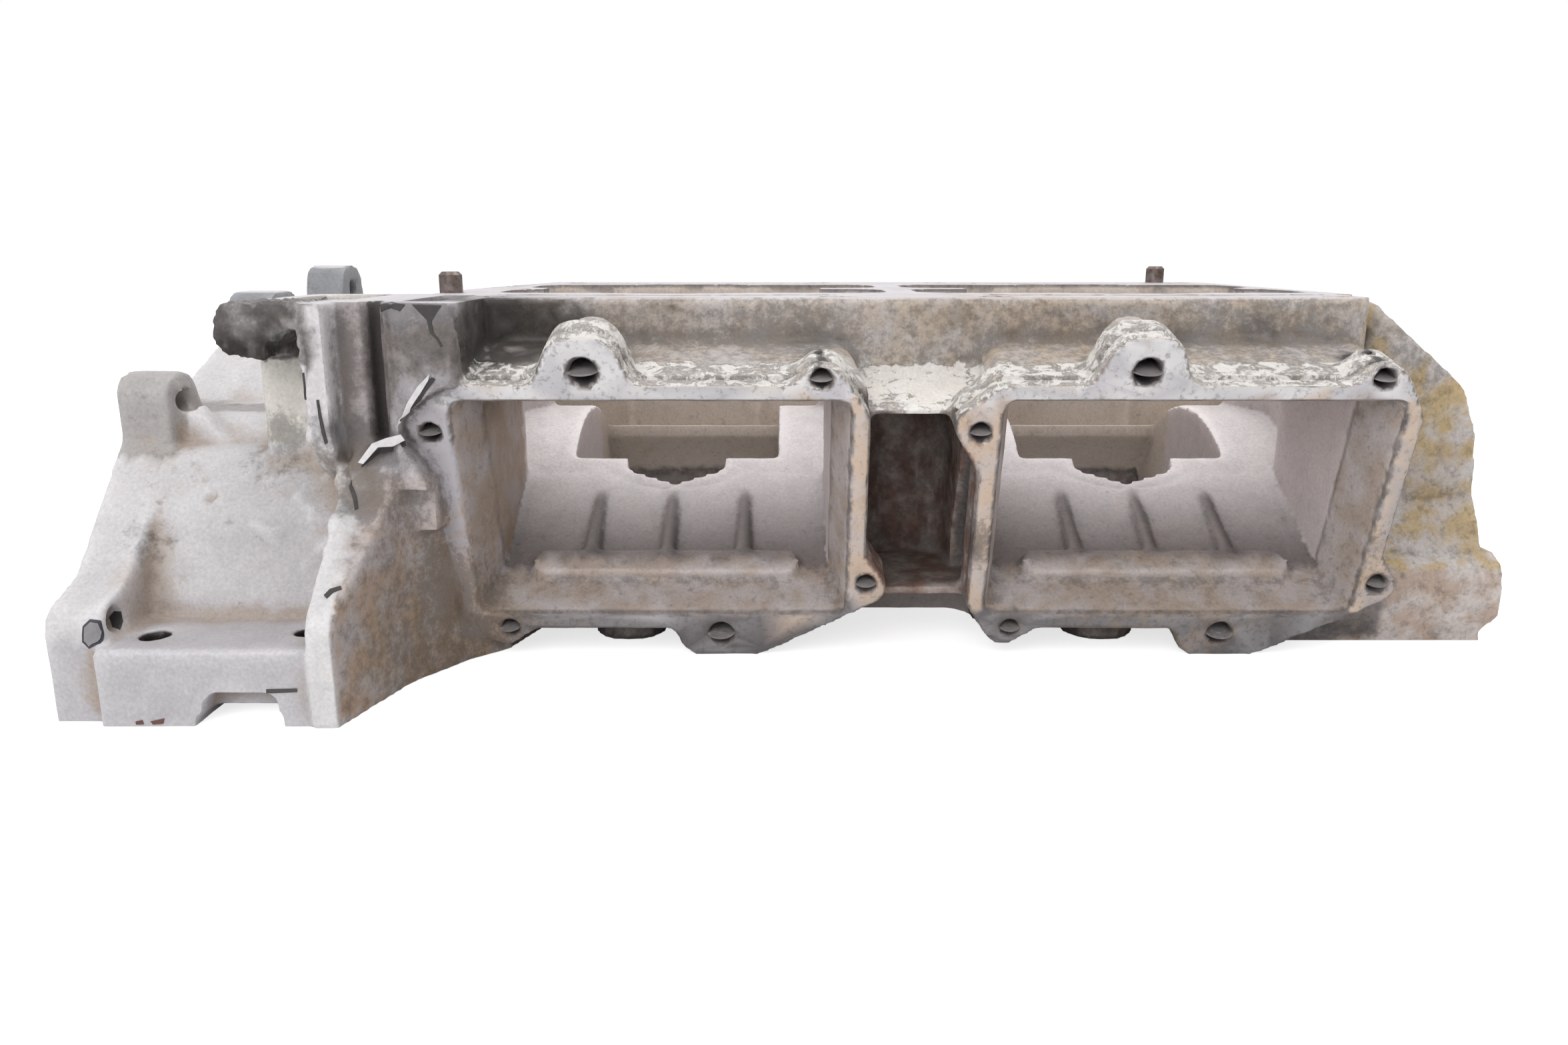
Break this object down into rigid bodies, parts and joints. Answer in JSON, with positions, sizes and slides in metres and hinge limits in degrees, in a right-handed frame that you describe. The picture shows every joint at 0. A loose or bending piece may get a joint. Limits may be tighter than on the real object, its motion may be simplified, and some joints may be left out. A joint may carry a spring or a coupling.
{
  "type": "crankcase upper half",
  "caption": "Upper half of a two-stroke marine engine crankcase in cast aluminium, with slanted reed ports in front, a flywheel bell at one end and an output bearing housing at the other.",
  "frame": {"origin": "on the crank axis in the split plane, midway between the two cylinders, at the middle of the centre bearing seat", "axes": "+X along the crank from the flywheel bell to the output end, +Y away from the reed ports, +Z from the split plane up to the cylinder deck"},
  "size_m": [0.396, 0.2425, 0.109],
  "materials": {
    "upper_crankcase_half": "sand-cast, worn grey paint",
    "deck_dowel_left": "stained",
    "deck_dowel_right": "stained",
    "gallery_plug": "dull"
  },
  "bodies": {
    "root": {"upper_crankcase_half": "upper_crankcase_half", "deck_dowel_left": "deck_dowel_left", "deck_dowel_right": "deck_dowel_right", "gallery_plug": "gallery_plug"}
  },
  "joints": []
}
